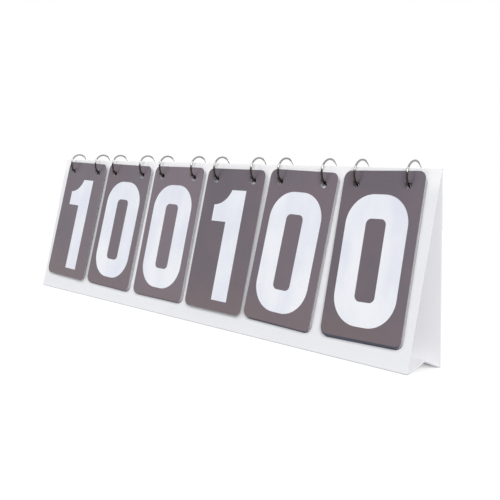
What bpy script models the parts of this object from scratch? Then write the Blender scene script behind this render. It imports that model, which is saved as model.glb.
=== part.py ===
# A tabletop flip scoreboard: a tent stand folded from one sheet, whose floor panel
# rises to a crease in the middle, and six packs of digit cards hung on pairs of
# loose-leaf rings that pass through the stand just below its ridge.
# Metres, +Z up, X along the ridge, the cards' faces towards -Y.
# The origin is on the ground, midway between the stand's feet and its ends.

import math

import bmesh
import bpy
from mathutils import Matrix, Vector

# The stand
stand_height = 0.1785
foot_reach = 0.0281
sheet_thickness = 0.0012
crease_gap = 0.0003

# The floor panel's two halves, which rise from the feet to the middle crease
base_slope_degrees = 17.7
base_ground_clearance = 0.0002
middle_crease_gap = 0.0005

# The rings
ring_radius = 0.013
ring_wire_radius = 0.001
ring_centre_drop = 0.0056
ring_segments = 24
wire_segments = 6

# The holes that the rings pass through, punched in the stand
panel_hole_radius = 0.003
panel_hole_clearance = 0.0003

# The cards
card_width = 0.0877
card_height = 0.1562
card_thickness = 0.00025
card_corner_radius = 0.0075
card_hole_radius = 0.0035
card_hole_side_inset = 0.0155
card_hole_top_inset = 0.0123
card_holes_shift = -0.0005
card_hang_clearance = 0.0005
card_pitch = 0.00042
card_panel_clearance = 0.00025

# The packs, from left to right as the cards face
card_gap = 0.0076
stand_end_margin = 0.0129
packs_shift = 0.0012
pack_count = 6
lone_card_packs = (1, 4)
digits_in_full_pack = 10

# How each pack's front card lies on its rings, and how the cards behind it lie: how
# far to the right, how far raised, and the turn to the left in degrees
front_card_lies = {
    1: (0.0012, 0.0017, -1.6),
    2: (0.0008, 0.0009, -1.35),
    3: (0.0012, 0.0005, -0.2),
    4: (0.0009, 0.0, -0.2),
    5: (0.0006, 0.0006, -1.5),
    6: (0.0, 0.0030, 1.2),
}
rear_card_lies = {
    2: (0.0006, 0.0007, -1.1),
    3: (0.0010, 0.0003, -0.2),
    5: (0.0004, 0.0003, -1.2),
    6: (0.0, 0.0015, 1.3),
}

corner_steps = 4
hole_steps = 10
panel_hole_steps = 12
cut_overrun = 0.002
weld_share = 0.02

sheet_colour = (0.82, 0.84, 0.87, 1.0)
card_colour = (0.165, 0.150, 0.165, 1.0)
ring_colour = (0.62, 0.63, 0.65, 1.0)

pack_pitch = card_width + card_gap
stand_length = (pack_count - 1) * pack_pitch + card_width + 2 * stand_end_margin
card_hole_offset = card_width / 2 - card_hole_side_inset
lean = math.atan2(foot_reach, stand_height)
base_slope = math.radians(base_slope_degrees)
ring_centre_height = stand_height - ring_centre_drop
centre_to_inner_face = ring_centre_drop * math.sin(lean)
rearmost_card_distance = (
    centre_to_inner_face + sheet_thickness + card_panel_clearance + card_thickness / 2
)


def remove_everything():
    for old in list(bpy.data.objects):
        bpy.data.objects.remove(old, do_unlink=True)


def new_collection(name):
    collection = bpy.data.collections.new(name)
    bpy.context.scene.collection.children.link(collection)
    return collection


def new_material(name, colour, roughness, metallic):
    material = bpy.data.materials.new(name)
    material.use_nodes = True
    principled = material.node_tree.nodes["Principled BSDF"]
    principled.inputs["Base Color"].default_value = colour
    principled.inputs["Roughness"].default_value = roughness
    principled.inputs["Metallic"].default_value = metallic
    return material


# A solid from flat outlines, the first one the rim and the others holes in it,
# centred on its own plane.
def outline_mesh(name, outlines, thickness):
    curve = bpy.data.curves.new(name, "CURVE")
    curve.dimensions = "2D"
    curve.fill_mode = "BOTH"
    curve.extrude = thickness / 2
    for outline in outlines:
        spline = curve.splines.new("POLY")
        spline.points.add(len(outline) - 1)
        for point, (across, up) in zip(spline.points, outline):
            point.co = (across, up, 0, 1)
        spline.use_cyclic_u = True
    source = bpy.data.objects.new(name + "_outline", curve)
    parts.objects.link(source)
    evaluated = source.evaluated_get(bpy.context.evaluated_depsgraph_get())
    mesh = bpy.data.meshes.new_from_object(evaluated)
    bpy.data.objects.remove(source, do_unlink=True)
    bpy.data.curves.remove(curve)
    mesh.name = name
    weld_distance = card_thickness * weld_share
    welded = bmesh.new()
    welded.from_mesh(mesh)
    bmesh.ops.remove_doubles(welded, verts=welded.verts, dist=weld_distance)
    bmesh.ops.recalc_face_normals(welded, faces=welded.faces)
    welded.to_mesh(mesh)
    welded.free()
    return mesh


def new_part(name, mesh, material, location, rotation):
    mesh.materials.clear()
    mesh.materials.append(material)
    part = bpy.data.objects.new(name, mesh)
    parts.objects.link(part)
    part.location = location
    part.rotation_euler = rotation
    return part


def circle_outline(centre, radius, steps):
    # The flats, not the corners, lie at the radius.
    corner_radius = radius / math.cos(math.pi / steps)
    turns = [2 * math.pi * step / steps for step in range(steps)]
    return [
        (centre[0] + corner_radius * math.cos(turn), centre[1] + corner_radius * math.sin(turn))
        for turn in turns
    ]


def rounded_outline(left, right, bottom, top, radius):
    corners = (
        (right - radius, top - radius, 0),
        (left + radius, top - radius, 1),
        (left + radius, bottom + radius, 2),
        (right - radius, bottom + radius, 3),
    )
    outline = []
    for across, up, quarter in corners:
        for step in range(corner_steps + 1):
            turn = math.pi / 2 * (quarter + step / corner_steps)
            outline.append((across + radius * math.cos(turn), up + radius * math.sin(turn)))
    return outline


# How far down a plane, below the foot of the ring centre's square to it, a ring's
# wire crosses it.
def wire_crossing(distance):
    return math.sqrt(ring_radius**2 - distance**2)


def pack_centre(pack):
    return (pack - (pack_count + 1) / 2) * pack_pitch + packs_shift


def ring_places():
    places = []
    for pack in range(1, pack_count + 1):
        places.append(pack_centre(pack) - card_hole_offset)
        places.append(pack_centre(pack) + card_hole_offset)
    return places


# The stand's sections are drawn in the YZ plane and run along X.
along_ridge = (math.pi / 2, 0, math.pi / 2)


def ring_hole_cutters(name, side):
    distance = centre_to_inner_face + sheet_thickness / 2
    wire_drop = wire_crossing(distance)
    hole_drop = wire_drop + ring_wire_radius + panel_hole_clearance - panel_hole_radius
    outward = Vector((0, side * math.cos(lean), math.sin(lean)))
    downward = Vector((0, side * math.sin(lean), -math.cos(lean)))
    middle = Vector((0, 0, ring_centre_height)) + outward * distance + downward * hole_drop
    corner_radius = panel_hole_radius / math.cos(math.pi / panel_hole_steps)
    cut = bmesh.new()
    for place in ring_places():
        turned = outward.to_track_quat("Z", "Y").to_matrix().to_4x4()
        bmesh.ops.create_cone(
            cut,
            cap_ends=True,
            segments=panel_hole_steps,
            radius1=corner_radius,
            radius2=corner_radius,
            depth=sheet_thickness + 2 * cut_overrun,
            matrix=Matrix.Translation(middle + Vector((place, 0, 0))) @ turned,
        )
    mesh = bpy.data.meshes.new(name)
    cut.to_mesh(mesh)
    cut.free()
    cutter = bpy.data.objects.new(name, mesh)
    cutters.objects.link(cutter)
    cutter.hide_render = True
    cutter.display_type = "WIRE"
    return cutter


# A leaning panel: its inner face runs from the ridge's hinge line to the ground,
# where its edge is cut flat. The side is -1 at the front and 1 at the back.
def leaning_panel(name, side):
    inner_top = crease_gap / 2
    outer_top = (inner_top + sheet_thickness * math.cos(lean), sheet_thickness * math.sin(lean))
    outer_reach = foot_reach + inner_top + sheet_thickness / math.cos(lean)
    section = [
        (side * inner_top, 0),
        (side * outer_top[0], outer_top[1]),
        (side * outer_reach, -stand_height),
        (side * (foot_reach + inner_top), -stand_height),
    ]
    mesh = outline_mesh(name, [section], stand_length)
    panel = new_part(name, mesh, sheet_material, (0, 0, stand_height), along_ridge)
    holes = panel.modifiers.new("Ring holes", "BOOLEAN")
    holes.operation = "DIFFERENCE"
    holes.solver = "EXACT"
    holes.object = ring_hole_cutters(name + "_holes", side)
    return panel


# Half of the floor panel, from its hinge at a foot up to the middle crease.
def base_half(name, side):
    hinge_height = sheet_thickness * math.cos(base_slope) + base_ground_clearance
    panel_reach = foot_reach * (1 - hinge_height / stand_height)
    hinge_reach = panel_reach - crease_gap
    run = hinge_reach - middle_crease_gap / 2
    upright_thickness = sheet_thickness / math.cos(base_slope)
    rise = run * math.tan(base_slope)
    section = [
        (0, 0),
        (-side * run, rise),
        (-side * run, rise - upright_thickness),
        (-side * sheet_thickness * math.sin(base_slope), -sheet_thickness * math.cos(base_slope)),
    ]
    mesh = outline_mesh(name, [section], stand_length)
    location = (0, side * hinge_reach, hinge_height)
    return new_part(name, mesh, sheet_material, location, along_ridge)


def ring(name, place):
    bpy.ops.mesh.primitive_torus_add(
        major_radius=ring_radius,
        minor_radius=ring_wire_radius,
        major_segments=ring_segments,
        minor_segments=wire_segments,
        location=(place, 0, ring_centre_height),
        rotation=(0, math.pi / 2, 0),
    )
    torus = bpy.context.object
    for collection in list(torus.users_collection):
        collection.objects.unlink(torus)
    parts.objects.link(torus)
    torus.name = name
    torus.data.name = name
    torus.data.materials.append(ring_material)
    torus.data.shade_smooth()
    return torus


# A card whose middle plane lies at a distance from the rings' centre line. It hangs
# with its holes' upper edges just over the wires, unless its lie says otherwise, and
# its origin is on the rings' centre line, which it turns about.
def card(name, pack, distance, side, lie=(0, 0, 0)):
    hole_drop = wire_crossing(distance) + card_hole_radius - ring_wire_radius - card_hang_clearance
    top = card_hole_top_inset - hole_drop
    left = -card_width / 2 - card_holes_shift
    outlines = [rounded_outline(left, left + card_width, top - card_height, top, card_corner_radius)]
    for hole_place in (-card_hole_offset, card_hole_offset):
        outlines.append(circle_outline((hole_place, -hole_drop), card_hole_radius, hole_steps))
    mesh = outline_mesh(name, outlines, card_thickness)
    shift, rise, turn_degrees = lie
    mesh.transform(Matrix.Translation((0, hole_drop, 0)))
    mesh.transform(Matrix.Rotation(math.radians(turn_degrees), 4, "Z"))
    mesh.transform(Matrix.Translation((shift, rise - hole_drop, distance)))
    half_turn = 0 if side < 0 else math.pi
    rotation = (math.pi / 2 - lean, 0, half_turn)
    location = (pack_centre(pack), 0, ring_centre_height)
    return new_part(name, mesh, card_material, location, rotation)


# A full pack shows its 0, with 1 to 9 behind it down to the panel. In a hundreds
# pack the 1 shows, and the 0 that covered it hangs flipped over, behind the stand.
def card_pack(pack):
    front_distance = rearmost_card_distance + (digits_in_full_pack - 1) * card_pitch
    lie = front_card_lies[pack]
    if pack in lone_card_packs:
        card(f"card_{pack}_digit_1", pack, front_distance, -1, lie)
        card(f"card_{pack}_digit_0", pack, rearmost_card_distance, 1)
        return
    card(f"card_{pack}_digit_0", pack, front_distance, -1, lie)
    lie = rear_card_lies[pack]
    for digit in range(1, digits_in_full_pack):
        card(f"card_{pack}_digit_{digit}", pack, front_distance - digit * card_pitch, -1, lie)


remove_everything()
parts = new_collection("flip_scoreboard")
cutters = new_collection("cutters")
sheet_material = new_material("white sheet", sheet_colour, 0.45, 0.0)
card_material = new_material("grey card", card_colour, 0.55, 0.0)
ring_material = new_material("ring steel", ring_colour, 0.22, 1.0)

leaning_panel("front_panel", -1)
leaning_panel("back_panel", 1)
base_half("base_front_half", -1)
base_half("base_rear_half", 1)
for number, place in enumerate(ring_places(), 1):
    ring(f"ring_{number}", place)
for pack in range(1, pack_count + 1):
    card_pack(pack)
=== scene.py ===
import math

import bpy
import numpy as np
from mathutils import Matrix, Vector


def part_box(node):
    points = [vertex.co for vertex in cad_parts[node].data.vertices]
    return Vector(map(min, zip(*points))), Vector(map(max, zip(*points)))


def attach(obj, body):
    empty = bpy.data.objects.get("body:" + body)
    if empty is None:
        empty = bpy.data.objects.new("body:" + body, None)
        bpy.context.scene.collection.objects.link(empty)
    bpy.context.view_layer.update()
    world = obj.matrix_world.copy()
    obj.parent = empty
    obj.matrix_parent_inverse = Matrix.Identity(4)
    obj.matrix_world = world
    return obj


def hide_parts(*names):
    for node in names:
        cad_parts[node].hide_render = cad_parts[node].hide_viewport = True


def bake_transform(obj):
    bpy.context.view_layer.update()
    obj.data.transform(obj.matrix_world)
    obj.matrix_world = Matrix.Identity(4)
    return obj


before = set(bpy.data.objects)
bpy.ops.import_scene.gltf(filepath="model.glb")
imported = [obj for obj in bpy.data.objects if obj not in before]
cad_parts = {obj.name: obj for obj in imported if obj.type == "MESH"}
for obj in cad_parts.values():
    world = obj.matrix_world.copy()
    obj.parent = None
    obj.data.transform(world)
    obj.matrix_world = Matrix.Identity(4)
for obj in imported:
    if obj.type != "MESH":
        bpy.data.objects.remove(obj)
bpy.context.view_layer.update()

# Flip scoreboard: a folded tent stand with six packs of digit cards on binder rings.
# Everything is in metres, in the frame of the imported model.


# Materials

class nodeValue:
    # One socket of a material's node tree, or the tree alone where there is no socket yet.
    def __init__(self, tree, socket=None):
        self.tree = tree
        self.socket = socket

    # A node of a type, with its settings, then the values or links of its sockets. The
    # setting named steps gives a colour ramp its grey levels, in bands of one width.
    def make(self, nodeType, settings=None, values=None, output=0):
        node = self.tree.nodes.new(nodeType)
        for name, setting in (settings or {}).items():
            if name == "steps":
                ramp = node.color_ramp
                ramp.interpolation = "CONSTANT"
                while len(ramp.elements) < len(setting):
                    ramp.elements.new(0.5)
                for index, (element, level) in enumerate(zip(ramp.elements, setting)):
                    element.position = index / len(setting)
                    element.color = (level, level, level, 1)
            else:
                setattr(node, name, setting)
        for name, value in (values or {}).items():
            if isinstance(value, nodeValue):
                self.tree.links.new(value.socket, node.inputs[name])
            else:
                node.inputs[name].default_value = value
        return nodeValue(self.tree, node.outputs[output])

    def worked(self, operation, first, second=0.0):
        return self.make("ShaderNodeMath", {"operation": operation}, {0: first, 1: second})

    def __add__(self, other):
        return self.worked("ADD", self, other)

    def __radd__(self, other):
        return self.worked("ADD", other, self)

    def __sub__(self, other):
        return self.worked("SUBTRACT", self, other)

    def __rsub__(self, other):
        return self.worked("SUBTRACT", other, self)

    def __mul__(self, other):
        return self.worked("MULTIPLY", self, other)

    def __rmul__(self, other):
        return self.worked("MULTIPLY", other, self)

    def __truediv__(self, other):
        return self.worked("DIVIDE", self, other)

    def __gt__(self, other):
        return self.worked("GREATER_THAN", self, other)

    def __lt__(self, other):
        return self.worked("LESS_THAN", self, other)

    # From 0 at the low value to 1 at the high one, with soft ends.
    def between(self, low, high):
        return self.make("ShaderNodeMapRange", {"interpolation_type": "SMOOTHSTEP"},
                         {"Value": self, "From Min": low, "From Max": high})


# A new material, the maker of its nodes and its shader, with the shader's constants set.
def startMaterial(name, constants):
    material = bpy.data.materials.new(name)
    material.use_nodes = True
    shader = material.node_tree.nodes["Principled BSDF"]
    for socket, value in constants.items():
        shader.inputs[socket].default_value = value
    return material, nodeValue(material.node_tree), shader


def linkTo(shader, socket, value):
    value.tree.links.new(value.socket, shader.inputs[socket])


# The roughness follows a pattern from the first of two values to the second.
def linkGloss(shader, pattern, gloss):
    low, high = gloss
    linkTo(shader, "Roughness", pattern * (high - low) + low)


def linkBump(shader, height, strength, depth):
    bump = height.make("ShaderNodeBump", {}, {"Height": height, "Strength": strength, "Distance": depth})
    linkTo(shader, "Normal", bump)


# The mix node has a set of sockets for each kind of value, and these are the colours'.
def mixColours(maker, factor, first, second):
    return maker.make("ShaderNodeMix", {"data_type": "RGBA"}, {0: factor, 6: first, 7: second}, output=2)


def axisOf(maker, place, axis):
    return maker.make("ShaderNodeSeparateXYZ", {}, {"Vector": place}, output=axis)


def noiseOn(maker, place, scale, detail=3.0, roughness=0.5):
    sockets = {"Vector": place, "Scale": scale, "Detail": detail, "Roughness": roughness}
    return maker.make("ShaderNodeTexNoise", {}, sockets)


def objectPlace(maker, stretch=(1, 1, 1)):
    coordinates = maker.make("ShaderNodeTexCoord", {}, {}, output="Object")
    return maker.make("ShaderNodeMapping", {}, {"Vector": coordinates, "Scale": stretch})


def facingOf(maker):
    return maker.make("ShaderNodeTexCoord", {}, {}, output="Normal")


sheetLook = {
    "face": (0.835, 0.84, 0.867, 1),     # cool white laminate
    "faceShade": (0.80, 0.805, 0.832, 1),
    "inside": (0.95, 0.95, 0.975, 1),    # painted light: brighter inside the tent, which is in shade
    "insideEdge": -0.0008,
    "floorTilt": 0.90,
    "ridge": (0.93, 0.93, 0.945, 1),     # painted light: paler along the ridge, above the cards
    "ridgeLightBand": (0.155, 0.170),
    "foot": (0.62, 0.63, 0.66, 1),       # and painted shadow: grey along the feet, where the board meets the floor
    "footShadowBand": (0.0004, 0.0018),
    "blotchScale": 9.0,
    "grainScale": 1400.0, "grainDetail": 2.0, "grainStrength": 0.25, "grainDepth": 0.00003,
    "gloss": (0.36, 0.50), "refraction": 1.25,
}


def sheetMaterial():
    material, maker, shader = startMaterial("white laminated board", {"IOR": sheetLook["refraction"]})
    place = objectPlace(maker)
    height = axisOf(maker, place, "Z")
    blotch = noiseOn(maker, place, sheetLook["blotchScale"])
    grain = noiseOn(maker, place, sheetLook["grainScale"], sheetLook["grainDetail"])
    # A face is inside where its normal points back towards the tent's middle, and the floor board,
    # whose faces look up and down, counts as inside too. Both get painted light: a brighter colour where the
    # tent's shade falls.
    facing = facingOf(maker)
    inward = axisOf(maker, facing, "Y") * axisOf(maker, place, "Y") < sheetLook["insideEdge"]
    floorBoard = maker.worked("ABSOLUTE", axisOf(maker, facing, "Z")) > sheetLook["floorTilt"]
    insideLit = maker.worked("MAXIMUM", inward, floorBoard)
    plain = mixColours(maker, blotch, sheetLook["face"], sheetLook["faceShade"])
    # Painted light: the board is paler in the band below the ridge.
    ridgeLit = mixColours(maker, height.between(*sheetLook["ridgeLightBand"]), plain, sheetLook["ridge"])
    # Painted shadow: a grey band along the foot of each board, where it meets the floor.
    outer = mixColours(maker, 1 - height.between(*sheetLook["footShadowBand"]), ridgeLit, sheetLook["foot"])
    linkTo(shader, "Base Color", mixColours(maker, insideLit, outer, sheetLook["inside"]))
    linkGloss(shader, blotch, sheetLook["gloss"])
    linkBump(shader, grain, sheetLook["grainStrength"], sheetLook["grainDepth"])
    return material


cardLook = {
    "dark": (0.112, 0.093, 0.116, 1),    # a warm grey print, darker at each card's left
    "light": (0.176, 0.144, 0.176, 1),
    "brownSheen": (0.160, 0.122, 0.122, 1),    # and painted sheen: browner towards the bottom
    "brownSheenBand": (0.01, 0.09),
    "plum": (0.180, 0.122, 0.140, 1),
    "plumScale": 26.0, "plumDetail": 1.0, "plumBand": (0.35, 0.65), "plumShare": 0.25,
    "paintedShadow": (0.040, 0.048, 0.076, 1), # painted shadow of the front card on the cards behind, in two packs
    "paintedShadowBand": (0.0215, 0.0255),     # the heights between which that fades
    "rim": (0.86, 0.87, 0.90, 1),        # white plastic at the rounded rims
    "shadedCore": (0.66, 0.66, 0.68, 1),       # and painted greyer at the cut edges, as shade between the stacked cards
    "rimTilt": 0.30, "printTilt": 0.85,  # how far a face turns from the edge to the front or back
    "packPitch": 0.0953, "packStart": -0.2847,
    "packTones": (0.30, 0.30, 0.85, 0.00, 0.45, 0.15),
    "rearShadowDepths": (0.0, 0.0, 0.0, 0.0, 0.85, 0.95),
    "acrossShare": 0.30, "sheenShare": 0.35, "packShare": 0.75, "toneDrop": 0.15,
    "blotchScale": 14.0,
    "sheenScale": 30.0, "sheenDetail": 2.0, "sheenStretch": (1, 1, 0.12),
    "grainScale": 900.0, "grainDetail": 2.0, "grainStrength": 0.2, "grainDepth": 0.00002,
    "gloss": (0.20, 0.34), "refraction": 1.5,
}


# The front and back are printed grey and the cut edges are bare white, with painted
# shade on the cut faces. The object-space normal along the panel's lean tells the two
# apart. The depths say how dark the painted shadow of the card in front falls on the
# lower edge of the cards of each pack.
def cardMaterial(name, side, shadowLevels):
    material, maker, shader = startMaterial(name, {"IOR": cardLook["refraction"]})
    place = objectPlace(maker)
    height = axisOf(maker, place, "Z")
    outward = (0, side * math.cos(lean), math.sin(lean))
    along = maker.make("ShaderNodeVectorMath", {"operation": "DOT_PRODUCT"},
                       {0: facingOf(maker), 1: outward}, output="Value")
    tilt = maker.worked("ABSOLUTE", along)
    packs = (axisOf(maker, place, "X") - cardLook["packStart"]) / cardLook["packPitch"]
    across = maker.worked("FRACT", packs)
    share = packs / len(shadowLevels)
    batch = maker.make("ShaderNodeValToRGB", {"steps": cardLook["packTones"]}, {0: share})
    depth = maker.make("ShaderNodeValToRGB", {"steps": shadowLevels}, {0: share})
    blotch = noiseOn(maker, place, cardLook["blotchScale"])
    # Painted sheen: soft vertical streaks in the print's tone.
    stretched = objectPlace(maker, cardLook["sheenStretch"])
    sheenStreaks = noiseOn(maker, stretched, cardLook["sheenScale"], cardLook["sheenDetail"])
    tone = across * cardLook["acrossShare"] + sheenStreaks * cardLook["sheenShare"]
    tone = tone + batch * cardLook["packShare"] - cardLook["toneDrop"]
    plum = noiseOn(maker, place, cardLook["plumScale"], cardLook["plumDetail"]).between(*cardLook["plumBand"])
    grey = mixColours(maker, tone.between(0.0, 1.0), cardLook["dark"], cardLook["light"])
    grey = mixColours(maker, plum * cardLook["plumShare"], grey, cardLook["plum"])
    # Painted sheen: browner towards the bottom, in random patches.
    foot = 1 - height.between(*cardLook["brownSheenBand"])
    withPaintedReflection = mixColours(maker, foot * blotch, grey, cardLook["brownSheen"])
    # Painted shadow: the cards behind the front one darken towards their lower edge, as in its shadow.
    paintedShadow = depth * (1 - height.between(*cardLook["paintedShadowBand"]))
    printed = mixColours(maker, paintedShadow, withPaintedReflection, cardLook["paintedShadow"])
    # The cut faces are painted grey as shade between the stacked cards; the rims keep the white plastic.
    plastic = mixColours(maker, tilt > cardLook["rimTilt"], cardLook["shadedCore"], cardLook["rim"])
    linkTo(shader, "Base Color", mixColours(maker, tilt > cardLook["printTilt"], plastic, printed))
    linkGloss(shader, blotch, cardLook["gloss"])
    grain = noiseOn(maker, place, cardLook["grainScale"], cardLook["grainDetail"])
    linkBump(shader, grain, cardLook["grainStrength"], cardLook["grainDepth"])
    return material


inkLook = {
    "light": (0.85, 0.865, 0.91, 1), "dull": (0.74, 0.765, 0.85, 1),
    "blotchScale": 22.0, "blotchShare": 0.5,
    "sheenScale": 45.0, "sheenDetail": 2.0, "sheenStretch": (1, 1, 0.15), "sheenShare": 0.5,
    "dullBand": (0.35, 0.65),
    "gloss": (0.22, 0.36), "refraction": 1.5,
}


def inkMaterial():
    material, maker, shader = startMaterial("white digit print", {"IOR": inkLook["refraction"]})
    blotch = noiseOn(maker, objectPlace(maker), inkLook["blotchScale"])
    # Painted sheen: vertical streaks in the ink's colour, mixed half and half with random blotches.
    stretched = objectPlace(maker, inkLook["sheenStretch"])
    sheenStreaks = noiseOn(maker, stretched, inkLook["sheenScale"], inkLook["sheenDetail"])
    shade = blotch * inkLook["blotchShare"] + sheenStreaks * inkLook["sheenShare"]
    shade = shade.between(*inkLook["dullBand"])
    linkTo(shader, "Base Color", mixColours(maker, shade, inkLook["light"], inkLook["dull"]))
    linkGloss(shader, blotch, inkLook["gloss"])
    return material


steelLook = {
    "bright": (0.40, 0.40, 0.41, 1),
    "dark": (0.18, 0.175, 0.17, 1),
    "tintScale": 60.0,
    "cardReflection": (0.050, 0.040, 0.034, 1),  # painted reflection of the dark cards, on the wire below the card tops
    "cardReflectionBand": (0.1745, 0.1775), "cardReflectionWander": 0.002,
    "polished": (0.86, 0.86, 0.87, 1),    # painted highlight: bright behind the ridge
    "backHighlightBand": (0.004, 0.010),
    "scuffScale": 260.0, "scuffDetail": 5.0, "scuffRoughness": 0.6, "scuffStretch": (1, 1, 6),
    "scuffStrength": 0.15, "scuffDepth": 0.00003,
    "gloss": (0.12, 0.30),
}


def steelMaterial():
    material, maker, shader = startMaterial("nickel plated wire", {"Metallic": 1.0})
    place = objectPlace(maker)
    scuffs = noiseOn(maker, objectPlace(maker, steelLook["scuffStretch"]), steelLook["scuffScale"],
                     steelLook["scuffDetail"], steelLook["scuffRoughness"])
    tint = noiseOn(maker, place, steelLook["tintScale"])
    plated = mixColours(maker, tint, steelLook["bright"], steelLook["dark"])
    # Painted reflection: the wire below the card tops is darkened as if it mirrored the dark cards.
    edge = axisOf(maker, place, "Z") + scuffs * steelLook["cardReflectionWander"]
    reflectsCards = 1 - edge.between(*steelLook["cardReflectionBand"])
    # Painted highlight: the wire behind the ridge is near white.
    behind = axisOf(maker, place, "Y").between(*steelLook["backHighlightBand"])
    withPaintedReflection = mixColours(maker, reflectsCards, plated, steelLook["cardReflection"])
    linkTo(shader, "Base Color", mixColours(maker, behind, withPaintedReflection, steelLook["polished"]))
    linkGloss(shader, scuffs, steelLook["gloss"])
    linkBump(shader, scuffs, steelLook["scuffStrength"], steelLook["scuffDepth"])
    return material


# Tools for the pieces

def clearSelection():
    if bpy.context.object and bpy.context.object.mode != "OBJECT":
        bpy.ops.object.mode_set(mode="OBJECT")
    bpy.ops.object.select_all(action="DESELECT")


def makeActive(piece):
    clearSelection()
    piece.select_set(True)
    bpy.context.view_layer.objects.active = piece


def finishModifiers(piece):
    makeActive(piece)
    for modifier in list(piece.modifiers):
        bpy.ops.object.modifier_apply(modifier=modifier.name)


def settlePlace(piece):
    makeActive(piece)
    bpy.ops.object.transform_apply(location=True, rotation=True, scale=True)


# Starts to edit a piece, with all of it selected.
def editWhole(piece):
    makeActive(piece)
    bpy.ops.object.mode_set(mode="EDIT")
    bpy.ops.mesh.select_all(action="SELECT")


# Turns all faces outward and ends the editing.
def endEditing():
    bpy.ops.mesh.select_all(action="SELECT")
    bpy.ops.mesh.normals_make_consistent(inside=False)
    bpy.ops.object.mode_set(mode="OBJECT")


# Joins pieces into the first of them.
def joinPieces(pieces):
    clearSelection()
    for piece in pieces:
        piece.select_set(True)
    bpy.context.view_layer.objects.active = pieces[0]
    bpy.ops.object.join()
    return pieces[0]


# Cuts a piece with a punch, which is then thrown away.
def punchOut(piece, punch):
    cut = piece.modifiers.new("punch", "BOOLEAN")
    cut.operation = "DIFFERENCE"
    cut.object = punch
    finishModifiers(piece)
    bpy.data.objects.remove(punch, do_unlink=True)


def roundEdges(piece, width, steps=3):
    rounding = piece.modifiers.new("rounded edges", "BEVEL")
    rounding.width = width
    rounding.segments = steps
    rounding.limit_method = "ANGLE"
    finishModifiers(piece)


# Smooth shading on the curved stretches, with the large faces kept flat.
def shadeByAngle(piece, degrees=35):
    makeActive(piece)
    bpy.ops.object.shade_smooth_by_angle(angle=math.radians(degrees))
    weighted = piece.modifiers.new("flat faces", "WEIGHTED_NORMAL")
    weighted.keep_sharp = True
    weighted.weight = 100
    finishModifiers(piece)


# A rectangle in the plane of X and Y that hangs down from the origin.
def hangingSheet(name, width, height):
    clearSelection()
    bpy.ops.mesh.primitive_plane_add(size=1, location=(0, -height / 2, 0))
    sheet = bpy.context.object
    sheet.name = name
    sheet.scale = (width, height, 1)
    settlePlace(sheet)
    return sheet


# Adds a line of straight stretches to a curve, through points in the plane of X and Y.
def addLine(curve, points):
    line = curve.splines.new("POLY")
    line.points.add(len(points) - 1)
    for target, (x, y) in zip(line.points, points):
        target.co = (x, y, 0, 1)
    return line


# The mesh that a curve makes, as a piece.
def meshOfCurve(name, curve):
    piece = bpy.data.objects.new(name, curve)
    bpy.context.scene.collection.objects.link(piece)
    makeActive(piece)
    bpy.ops.object.convert(target="MESH")
    return bpy.context.object


# A copy of a piece with its own mesh, moved by a matrix.
def copyOf(piece, name, matrix):
    twin = bpy.data.objects.new(name, piece.data.copy())
    bpy.context.scene.collection.objects.link(twin)
    twin.data.name = name
    twin.data.transform(matrix)
    return twin


def paintOnly(piece, material):
    piece.data.materials.clear()
    piece.data.materials.append(material)


def dress(piece, body, material):
    paintOnly(piece, material)
    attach(piece, body)


def middleOf(box):
    low, high = box
    return (Vector(low) + Vector(high)) / 2


def lengthOf(box):
    low, high = box
    return high[0] - low[0]


# A card may hang a little turned, and it is measured at small turns to both sides.
turnSteps = 90
stepsInDegree = 40


# The plane that a card node lies in: a matrix from the card's own plane, with its top
# edge's middle as the origin, X across, Y up and Z out of its face, to the frame.
def cardPlane(node):
    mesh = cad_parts[node].data
    points = np.array([vertex.co[:] for vertex in mesh.vertices])
    largest = max(mesh.polygons, key=lambda face: face.area)
    outward = Vector(largest.normal)
    hangsBehind = points[:, 1].mean() > 0
    if (outward.y > 0) != hangsBehind:
        outward = -outward
    level = Vector((-1 if hangsBehind else 1, 0, 0))
    # Along its own edges it spans the least.
    turns = [Matrix.Rotation(math.radians(step / stepsInDegree), 3, outward)
             for step in range(-turnSteps, turnSteps + 1)]
    across = min((turn @ level for turn in turns), key=lambda way: np.ptp(points @ np.array(way)))
    up = outward.cross(across)
    top = (points @ np.array(up)).max()
    face = (points @ np.array(outward)).max()
    places = points @ np.array(across)
    origin = across * (places.min() + places.max()) / 2 + up * top + outward * face
    plane = Matrix((across, up, outward)).transposed().to_4x4()
    return Matrix.Translation(origin) @ plane


cardNodes = sorted(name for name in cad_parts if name.startswith("card_"))
lean = math.asin(cardPlane("card_6_digit_0").col[2].z)
unshadowed = [0.0] * len(cardLook["rearShadowDepths"])
sheetPaint = sheetMaterial()
frontCardPaint = cardMaterial("printed front card", -1, unshadowed)
shadowedCardPaint = cardMaterial("printed card with painted shadow", -1, cardLook["rearShadowDepths"])
backCardPaint = cardMaterial("printed back card", 1, unshadowed)
inkPaint = inkMaterial()
steelPaint = steelMaterial()
print("materials made")


# Cards

cardSizes = {
    "width": 0.0877, "height": 0.1562, "thickness": 0.00025,
    "cornerRadius": 0.0075, "cornerSteps": 12, "rimRound": 0.00015, "rimSteps": 2,
    "holeRadius": 0.00356, "holeOffset": 0.02835, "holeInset": 0.0123, "holesShift": -0.0005,
    "holeSides": 64, "punchDepth": 0.004, "frontTilt": 0.9,
}


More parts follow.
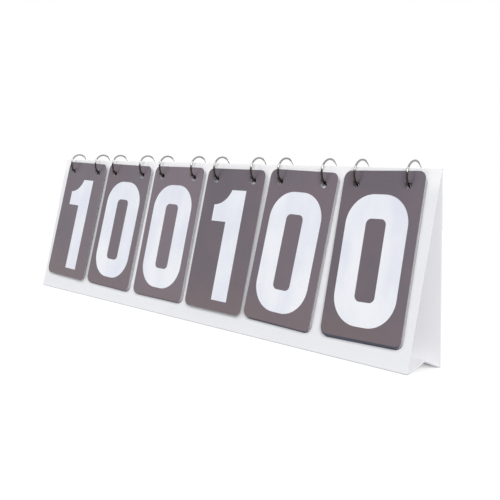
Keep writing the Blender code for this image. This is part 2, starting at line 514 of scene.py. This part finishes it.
def modelCard():
    sheet = hangingSheet("cardPattern", cardSizes["width"], cardSizes["height"])
    editWhole(sheet)
    bpy.ops.mesh.bevel(offset=cardSizes["cornerRadius"], offset_type="OFFSET",
                       segments=cardSizes["cornerSteps"], affect="VERTICES")
    bpy.ops.mesh.select_all(action="SELECT")
    thickness = cardSizes["thickness"]
    bpy.ops.mesh.extrude_region_move(TRANSFORM_OT_translate={"value": (0, 0, -thickness)})
    endEditing()
    for side in (-1, 1):
        clearSelection()
        place = (side * cardSizes["holeOffset"] + cardSizes["holesShift"], -cardSizes["holeInset"], 0)
        bpy.ops.mesh.primitive_cylinder_add(vertices=cardSizes["holeSides"], radius=cardSizes["holeRadius"],
                                            depth=cardSizes["punchDepth"], location=place)
        punchOut(sheet, bpy.context.object)
    # The front rims of the outline and of the holes are rounded.
    for face in sheet.data.polygons:
        face.select = face.normal.z > cardSizes["frontTilt"]
    bpy.ops.object.mode_set(mode="EDIT")
    bpy.ops.mesh.select_mode(type="FACE")
    bpy.ops.mesh.region_to_loop()
    bpy.ops.mesh.bevel(offset=cardSizes["rimRound"], offset_type="OFFSET",
                       segments=cardSizes["rimSteps"], affect="EDGES")
    bpy.ops.object.mode_set(mode="OBJECT")
    shadeByAngle(sheet)
    return sheet


loneCardPacks = ("card_1_", "card_4_")
cardPattern = modelCard()
for node in cardNodes:
    plane = cardPlane(node)
    piece = copyOf(cardPattern, node + "_sheet", plane)
    if plane.col[2].y > 0:
        paint = backCardPaint
    elif node.startswith(loneCardPacks) or node.endswith("_0"):
        paint = frontCardPaint
    # The cards behind the front one get the paint with a painted shadow at their lower edge.
    else:
        paint = shadowedCardPaint
    dress(piece, node, paint)
    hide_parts(node)
bpy.data.objects.remove(cardPattern, do_unlink=True)
print("cards made:", len(cardNodes))


# Digits. Each outline is a list of corners, as x, y and the corner's radius, in a frame
# whose origin is the digit's lower left corner. The first outline is the rim and the others
# are counters.

digitSizes = {
    "width": 0.0673, "height": 0.1227, "stroke": 0.0228, "round": 0.0284, "inner": 0.0056,
    "top": 0.0222, "ink": 0.00003, "lift": 0.00001, "weld": 0.000002,
    "arcSteps": 26, "straight": 0.01,
}

oneSizes = {
    "stemLeft": 0.0314, "stemSpare": 0.0002, "topDrop": 0.0013, "topInset": 0.0017,
    "hookLeft": 0.0046, "hookDrop": 0.0175, "hookRound": 0.0270,
    "flagLeft": 0.0092, "flagDrop": 0.0186, "flagRound": 0.0010, "flagFoot": 0.0368,
}


def digitOne():
    height = digitSizes["height"]
    left = oneSizes["stemLeft"]
    right = left + digitSizes["stroke"] + oneSizes["stemSpare"]
    top = height - oneSizes["topDrop"]
    foot = height - oneSizes["flagFoot"]
    flag = oneSizes["flagLeft"]
    return [[(left, 0, 0), (right, 0, 0), (right, top, 0), (left + oneSizes["topInset"], top, 0),
             (left - oneSizes["hookLeft"], height - oneSizes["hookDrop"], oneSizes["hookRound"]),
             (flag, height - oneSizes["flagDrop"], oneSizes["flagRound"]), (flag, foot, 0), (left, foot, 0)]]


def digitOutlines():
    # The lists of corners are easier to read with short names.
    w = digitSizes["width"]
    h = digitSizes["height"]
    s = digitSizes["stroke"]
    r = digitSizes["round"]
    i = digitSizes["inner"]
    mid = h / 2
    bar = s / 2
    stub = 0.60 * r + s / 2          # how far an open end hangs past its bend
    lowEnd = s + stub / 2
    highEnd = h - s - stub / 2
    nick = 0.001                     # the radius of a sharp inner corner
    soft = 0.002                     # and of a softer one
    nudge = 0.001
    notch = 0.0045
    waistRound = 0.010
    zero = [[(0, 0, r), (w, 0, r), (w, h, r), (0, h, r)],
            [(s, s, i), (s, h - s, i), (w - s, h - s, i), (w - s, s, i)]]
    # The slanting stroke of the two leaves the bowl at these heights and ends in the foot.
    slantOuter = 0.55 * h
    slantInner = 0.57 * h
    slantFoot = 0.24 * h
    slantHeel = s + 0.006
    outerBend = 0.6 * r
    innerBend = 0.5 * r
    two = [[(0, 0, 0), (w, 0, 0), (w, s, 0), (slantHeel, s, nick), (w, slantOuter, outerBend), (w, h, r),
            (0, h, r), (0, highEnd, 0), (s, highEnd, 0), (s, h - s, i), (w - s, h - s, i),
            (w - s, slantInner, innerBend), (0, slantFoot, innerBend)]]
    rightWaist = [(w, mid - notch, waistRound), (w - notch, mid, soft), (w, mid + notch, waistRound)]
    leftWaist = [(0, mid + notch, waistRound), (notch, mid, soft), (0, mid - notch, waistRound)]
    three = [[(0, 0, r), (w, 0, r), *rightWaist, (w, h, r), (0, h, r), (0, highEnd, 0), (s, highEnd, 0),
              (s, h - s, i), (w - s, h - s, i), (w - s, mid + bar, i), (s + notch, mid + bar, 0),
              (s + notch, mid - bar, 0), (w - s, mid - bar, i), (w - s, s, i), (s, s, i),
              (s, lowEnd, 0), (0, lowEnd, 0)]]
    stemEnd = w - 0.0085
    stemStart = stemEnd - s
    barTop = 2 * s - 0.003
    counterTop = 0.70 * h
    four = [[(stemStart, 0, 0), (stemEnd, 0, 0), (stemEnd, s, 0), (w, s, 0), (w, barTop, 0),
             (stemEnd, barTop, 0), (stemEnd, h, 0), (stemStart - nudge, h, 0), (0, 2 * s, soft), (0, s, 0),
             (stemStart, s, 0)],
            [(s - nudge, barTop, nick), (stemStart, counterTop, nick), (stemStart, barTop, 0)]]
    belly = 0.64 * h
    flagEnd = w - 0.003
    five = [[(0, 0, r), (w, 0, r), (w, belly, r), (s, belly, nick), (s, h - s, 0), (flagEnd, h - s, 0),
             (flagEnd, h, 0), (0, h, 0), (0, belly - s, 0), (s, belly - s, i), (w - s, belly - s, i),
             (w - s, s, i), (s, s, i), (s, lowEnd, 0), (0, lowEnd, 0)]]
    bowl = 0.62 * h
    six = [[(0, 0, r), (w, 0, r), (w, bowl, r), (s, bowl, soft), (s, h - s, i), (w - s, h - s, i),
            (w - s, highEnd, 0), (w, highEnd, 0), (w, h, r), (0, h, r)],
           [(s, s, i), (s, bowl - s, i), (w - s, bowl - s, i), (w - s, s, i)]]
    legLeft = 0.010
    legRight = legLeft + s + nudge
    kneeDrop = 0.003
    kneeInset = 0.004
    kneeRound = 0.012
    seven = [[(legLeft, 0, 0), (legRight, 0, 0), (w, h - s - kneeDrop, kneeRound), (w, h, 0), (0, h, 0),
              (0, h - s, 0), (w - s - kneeInset, h - s, nick)]]
    eight = [[(0, 0, r), (w, 0, r), *rightWaist, (w, h, r), (0, h, r), *leftWaist],
             [(s, s, i), (s, mid - bar, i), (w - s, mid - bar, i), (w - s, s, i)],
             [(s, mid + bar, i), (s, h - s, i), (w - s, h - s, i), (w - s, mid + bar, i)]]
    nine = [[(w - x, h - y, radius) for x, y, radius in outline] for outline in six]
    return [zero, digitOne(), two, three, four, five, six, seven, eight, nine]


# The points of an outline with its corners rounded to arcs. Two corners share the edge
# between them by their radii.
def roundedPoints(corners):
    points = []
    count = len(corners)
    for index, (x, y, radius) in enumerate(corners):
        corner = Vector((x, y))
        last = corners[index - 1]
        following = corners[(index + 1) % count]
        toLast = Vector(last[:2]) - corner
        toNext = Vector(following[:2]) - corner
        opening = toLast.angle(toNext)
        if radius <= 0 or abs(opening - math.pi) < digitSizes["straight"]:
            points.append(corner)
            continue
        lastRoom = toLast.length * radius / (radius + last[2])
        nextRoom = toNext.length * radius / (radius + following[2])
        toLast.normalize()
        toNext.normalize()
        reach = min(radius / math.tan(opening / 2), lastRoom, nextRoom)
        fitted = reach * math.tan(opening / 2)
        centre = corner + (toLast + toNext).normalized() * (fitted / math.sin(opening / 2))
        start = corner + toLast * reach - centre
        end = corner + toNext * reach - centre
        sweep = start.angle_signed(end)
        for step in range(digitSizes["arcSteps"] + 1):
            turn = -sweep * step / digitSizes["arcSteps"]
            spoke = Vector((start.x * math.cos(turn) - start.y * math.sin(turn),
                            start.x * math.sin(turn) + start.y * math.cos(turn)))
            points.append(centre + spoke)
    return points


def modelDigit(digit, outlines):
    curve = bpy.data.curves.new("digitPattern", "CURVE")
    curve.dimensions = "2D"
    curve.fill_mode = "BOTH"
    curve.extrude = digitSizes["ink"] / 2
    for corners in outlines:
        addLine(curve, roundedPoints(corners)).use_cyclic_u = True
    pattern = meshOfCurve(f"digitPattern{digit}", curve)
    editWhole(pattern)
    bpy.ops.mesh.remove_doubles(threshold=digitSizes["weld"])
    endEditing()
    left = -digitSizes["width"] / 2 + cardSizes["holesShift"]
    bottom = -digitSizes["top"] - digitSizes["height"]
    lift = digitSizes["lift"] + digitSizes["ink"] / 2
    pattern.data.transform(Matrix.Translation((left, bottom, lift)))
    # A card has its digit on both faces, upright on each.
    turnedOver = Matrix.Translation((0, 0, -cardSizes["thickness"])) @ Matrix.Rotation(math.pi, 4, "Y")
    return joinPieces([pattern, copyOf(pattern, pattern.name + "Reverse", turnedOver)])


digitPatterns = [modelDigit(digit, outlines) for digit, outlines in enumerate(digitOutlines())]
for node in cardNodes:
    digit = int(node[-1])
    piece = copyOf(digitPatterns[digit], node + "_print", cardPlane(node))
    dress(piece, node, inkPaint)
for pattern in digitPatterns:
    bpy.data.objects.remove(pattern, do_unlink=True)
print("digits made")


# Rings

ringNumbers = range(1, 13)
ringSizes = {
    "radius": 0.013, "wire": 0.001, "wireSides": 20, "halfSteps": 60,
    "snapAngle": 52, "snapGap": 0.00012, "sleeveLength": 0.0026, "sleeve": 0.00104, "sleeveSteps": 8,
    "barrelRadius": 0.0014, "barrelLength": 0.0024, "barrelShift": 0.0008, "barrelSides": 28,
    "barrelRound": 0.0003, "shadeAngle": 40,
}


# A place on a circle round the ring's centre, in degrees from straight up towards the back.
def placeRound(angle, reach):
    turn = math.radians(angle)
    return (0, reach * math.sin(turn), reach * math.cos(turn))


# A length of wire round the ring's centre, from one such angle on by a number of degrees.
def bentWire(start, degrees, radius, steps):
    clearSelection()
    bpy.ops.mesh.primitive_circle_add(vertices=ringSizes["wireSides"], radius=radius, fill_type="NGON",
                                      location=placeRound(start, ringSizes["radius"]))
    wire = bpy.context.object
    wire.rotation_euler = (math.radians(90 - start), 0, 0)
    settlePlace(wire)
    editWhole(wire)
    bpy.ops.mesh.spin(steps=steps, angle=math.radians(degrees), center=(0, 0, 0), axis=(-1, 0, 0))
    endEditing()
    return wire


def modelRing():
    snap = ringSizes["snapAngle"]
    gap = math.degrees(ringSizes["snapGap"] / ringSizes["radius"]) / 2
    sleeve = math.degrees(ringSizes["sleeveLength"] / ringSizes["radius"])
    shapes = [
        bentWire(snap + gap, 180 - gap, ringSizes["wire"], ringSizes["halfSteps"]),
        bentWire(snap + 180, 180 - gap, ringSizes["wire"], ringSizes["halfSteps"]),
        bentWire(snap + gap, sleeve, ringSizes["sleeve"], ringSizes["sleeveSteps"]),
    ]
    clearSelection()
    # The hinge's barrel bulges outward only, so that the cards' holes slide past it.
    place = placeRound(snap + 180, ringSizes["radius"] + ringSizes["barrelShift"])
    bpy.ops.mesh.primitive_cylinder_add(vertices=ringSizes["barrelSides"], radius=ringSizes["barrelRadius"],
                                        depth=ringSizes["barrelLength"], location=place,
                                        rotation=(0, math.pi / 2, 0))
    barrel = bpy.context.object
    settlePlace(barrel)
    roundEdges(barrel, ringSizes["barrelRound"])
    ring = joinPieces(shapes + [barrel])
    ring.name = "ringPattern"
    shadeByAngle(ring, ringSizes["shadeAngle"])
    return ring


ringPattern = modelRing()
for number in ringNumbers:
    middle = middleOf(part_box(f"ring_{number}"))
    piece = copyOf(ringPattern, f"ring_{number}_wire", Matrix.Translation(middle))
    dress(piece, "stand_front", steelPaint)
    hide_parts(f"ring_{number}")
bpy.data.objects.remove(ringPattern, do_unlink=True)
print("rings made")


# Stand

standSizes = {
    "ridgeHeight": 0.1785, "thickness": 0.0012, "ridgeGap": 0.00015, "spareLength": 0.006,
    "edgeRound": 0.00022, "footRound": 0.0010, "footSteps": 6, "footReach": 0.0001,
    "holeRadius": 0.003, "holeClearance": 0.0003, "holeSides": 40, "punchDepth": 0.006,
}


# The middle of a panel's hole for a ring, on the panel's plane at the sheet's mid thickness.
def holeMiddle(ringMiddle, outward, downward):
    drop = standSizes["ridgeHeight"] - ringMiddle.z
    distance = drop * math.sin(lean) + standSizes["thickness"] / 2
    crossing = math.sqrt(ringSizes["radius"] ** 2 - distance ** 2)
    below = crossing + ringSizes["wire"] + standSizes["holeClearance"] - standSizes["holeRadius"]
    return ringMiddle + outward * distance + downward * below


# One punch for all the holes of a panel.
def modelPunch(outward, downward):
    punches = []
    for number in ringNumbers:
        middle = holeMiddle(middleOf(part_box(f"ring_{number}")), outward, downward)
        clearSelection()
        bpy.ops.mesh.primitive_cylinder_add(vertices=standSizes["holeSides"], radius=standSizes["holeRadius"],
                                            depth=standSizes["punchDepth"], location=middle,
                                            rotation=outward.to_track_quat("Z", "Y").to_euler())
        punches.append(bpy.context.object)
    return joinPieces(punches)


# The board's outer edge on the ground is the outside of a fold, and is rounded more.
def roundFoot(panel, side):
    outermost = max(side * vertex.co.y for vertex in panel.data.vertices)
    near = standSizes["footReach"]
    for edge in panel.data.edges:
        ends = [panel.data.vertices[index].co for index in edge.vertices]
        edge.select = all(side * end.y > outermost - near and end.z < near for end in ends)
    bpy.ops.object.mode_set(mode="EDIT")
    bpy.ops.mesh.bevel(offset=standSizes["footRound"], offset_type="OFFSET",
                       segments=standSizes["footSteps"], affect="EDGES")
    bpy.ops.object.mode_set(mode="OBJECT")


def modelPanel(node, side):
    across = Vector((-side, 0, 0))
    outward = Vector((0, side * math.cos(lean), math.sin(lean)))
    downward = Vector((0, side * math.sin(lean), -math.cos(lean)))
    slant = standSizes["ridgeHeight"] / math.cos(lean) + standSizes["spareLength"]
    panel = hangingSheet(node + "_board", lengthOf(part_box(node)), slant)
    editWhole(panel)
    bpy.ops.mesh.extrude_region_move(TRANSFORM_OT_translate={"value": (0, 0, standSizes["thickness"])})
    endEditing()
    turned = Matrix((across, -downward, outward)).transposed().to_4x4()
    top = Vector((0, side * standSizes["ridgeGap"], standSizes["ridgeHeight"]))
    panel.data.transform(Matrix.Translation(top) @ turned)
    # The spare length below the ground is cut off.
    editWhole(panel)
    bpy.ops.mesh.bisect(plane_co=(0, 0, 0), plane_no=(0, 0, 1), use_fill=True, clear_inner=True)
    bpy.ops.mesh.select_all(action="DESELECT")
    bpy.ops.mesh.select_mode(type="EDGE")
    bpy.ops.object.mode_set(mode="OBJECT")
    roundFoot(panel, side)
    roundEdges(panel, standSizes["edgeRound"])
    punchOut(panel, modelPunch(outward, downward))
    shadeByAngle(panel)
    return panel


for node, body, side in (("front_panel", "stand_front", -1), ("back_panel", "stand_back", 1)):
    panel = modelPanel(node, side)
    dress(panel, body, sheetPaint)
    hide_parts(node)
for node in ("base_front_half", "base_rear_half"):
    paintOnly(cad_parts[node], sheetPaint)


# The white laminate that runs over the ridge from one panel to the other.
foldSizes = {
    "lap": 0.0030, "skin": 0.00012, "proud": 0.00003, "crown": 0.00030, "arcSteps": 14,
    "endInsets": 0.0002,
}


def modelRidgeFold():
    shoulder = Vector((0, standSizes["ridgeGap"], standSizes["ridgeHeight"]))
    shoulder += Vector((0, math.cos(lean), math.sin(lean))) * (standSizes["thickness"] + foldSizes["proud"])
    down = Vector((0, math.sin(lean), -math.cos(lean)))
    half = [shoulder + down * foldSizes["lap"], shoulder + down * foldSizes["lap"] / 2]
    for step in range(foldSizes["arcSteps"] + 1):
        turn = math.pi / 2 * step / foldSizes["arcSteps"]
        rise = foldSizes["crown"] * math.sin(turn)
        half.append(Vector((0, shoulder.y * math.cos(turn), shoulder.z + rise)))
    line = [(-point.y, point.z) for point in half]
    line += [(point.y, point.z) for point in reversed(half[:-1])]
    curve = bpy.data.curves.new("ridgeLine", "CURVE")
    curve.dimensions = "3D"
    curve.extrude = (lengthOf(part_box("front_panel")) - foldSizes["endInsets"]) / 2
    addLine(curve, line)
    fold = meshOfCurve("ridge_fold", curve)
    # The curve's X, Y and Z become the frame's Y, Z and X.
    fold.data.transform(Matrix(((0, 0, 1, 0), (1, 0, 0, 0), (0, 1, 0, 0), (0, 0, 0, 1))))
    skin = fold.modifiers.new("laminate", "SOLIDIFY")
    skin.thickness = foldSizes["skin"]
    skin.offset = 0
    finishModifiers(fold)
    editWhole(fold)
    endEditing()
    shadeByAngle(fold)
    return fold


ridgeFold = modelRidgeFold()
paintOnly(ridgeFold, sheetPaint)
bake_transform(ridgeFold)
print("stand made")


# Floor, light and camera

studio = {
    "floorSize": 12.0, "floorColour": (0.74, 0.74, 0.74, 1), "glow": 0.46, "white": (1, 1, 1, 1),
    "worldLevel": 0.41, "keyLevel": 0.30, "keyTurn": (46, 0, -24), "keySoftness": 14,
    "fillLevel": 2.1, "fillTurn": (62, 0, 48), "fillSoftness": 26,
    "backLevel": 1.0, "backTurn": (-80, 0, 0), "backSoftness": 30,
}

# The camera that was fitted to the photograph: its place, its angles in degrees, and its
# focal length and frame in pixels.
photoView = {
    "place": (0.6152, -0.5755, 0.1383), "azimuth": 43.32, "down": 3.77, "roll": 4.23,
    "focal": 729.5, "frame": 500, "sensor": 36, "nearest": 0.01,
}


# 1 for the camera, mirrors and glass, and 0 for the light that falls on the pieces.
def whiteForView(maker):
    path = maker.make("ShaderNodeLightPath", {}, {}, output="Is Camera Ray")
    node = path.socket.node
    glossy = nodeValue(maker.tree, node.outputs["Is Glossy Ray"])
    through = nodeValue(maker.tree, node.outputs["Is Transmission Ray"])
    return maker.worked("MINIMUM", path + glossy + through, 1.0)


def buildFloor():
    clearSelection()
    bpy.ops.mesh.primitive_plane_add(size=studio["floorSize"], location=(0, 0, 0))
    floor = bpy.context.object
    floor.name = "studioFloor"
    material = bpy.data.materials.new("studio floor")
    material.use_nodes = True
    tree = material.node_tree
    tree.nodes.clear()
    maker = nodeValue(tree)
    matte = maker.make("ShaderNodeBsdfDiffuse", {}, {"Color": studio["floorColour"]})
    glow = maker.make("ShaderNodeEmission", {}, {"Color": studio["white"], "Strength": studio["glow"]})
    lit = maker.make("ShaderNodeAddShader", {}, {0: matte, 1: glow})
    seen = maker.make("ShaderNodeMixShader", {}, {0: whiteForView(maker), 1: matte, 2: lit})
    out = tree.nodes.new("ShaderNodeOutputMaterial")
    tree.links.new(seen.socket, out.inputs["Surface"])
    paintOnly(floor, material)


def buildWorld():
    world = bpy.data.worlds.new("studio")
    bpy.context.scene.world = world
    world.use_nodes = True
    tree = world.node_tree
    tree.nodes.clear()
    maker = nodeValue(tree)
    strength = whiteForView(maker) * (1 - studio["worldLevel"]) + studio["worldLevel"]
    background = maker.make("ShaderNodeBackground", {}, {"Color": studio["white"], "Strength": strength})
    out = tree.nodes.new("ShaderNodeOutputWorld")
    tree.links.new(background.socket, out.inputs["Surface"])


def addSun(name, level, turn, softness):
    clearSelection()
    bpy.ops.object.light_add(type="SUN", rotation=[math.radians(angle) for angle in turn])
    sun = bpy.context.object
    sun.name = name
    sun.data.energy = level
    sun.data.angle = math.radians(softness)


def addCamera():
    turn = math.radians(photoView["azimuth"])
    dip = math.radians(photoView["down"])
    roll = math.radians(photoView["roll"])
    forward = Vector((-math.sin(turn) * math.cos(dip), math.cos(turn) * math.cos(dip), -math.sin(dip)))
    level = Vector((math.cos(turn), math.sin(turn), 0))
    upright = level.cross(forward)
    right = level * math.cos(roll) + upright * math.sin(roll)
    up = upright * math.cos(roll) - level * math.sin(roll)
    lens = bpy.data.cameras.new("photoCamera")
    lens.sensor_fit = "HORIZONTAL"
    lens.sensor_width = photoView["sensor"]
    lens.lens = photoView["sensor"] * photoView["focal"] / photoView["frame"]
    lens.clip_start = photoView["nearest"]
    camera = bpy.data.objects.new("photoCamera", lens)
    bpy.context.scene.collection.objects.link(camera)
    turned = Matrix((right, up, -forward)).transposed().to_4x4()
    camera.matrix_world = Matrix.Translation(photoView["place"]) @ turned
    bpy.context.scene.camera = camera


buildFloor()
buildWorld()
addSun("keySun", studio["keyLevel"], studio["keyTurn"], studio["keySoftness"])
addSun("fillSun", studio["fillLevel"], studio["fillTurn"], studio["fillSoftness"])
addSun("backSun", studio["backLevel"], studio["backTurn"], studio["backSoftness"])
addCamera()
bpy.context.scene.view_settings.view_transform = "Standard"
print("studio set")
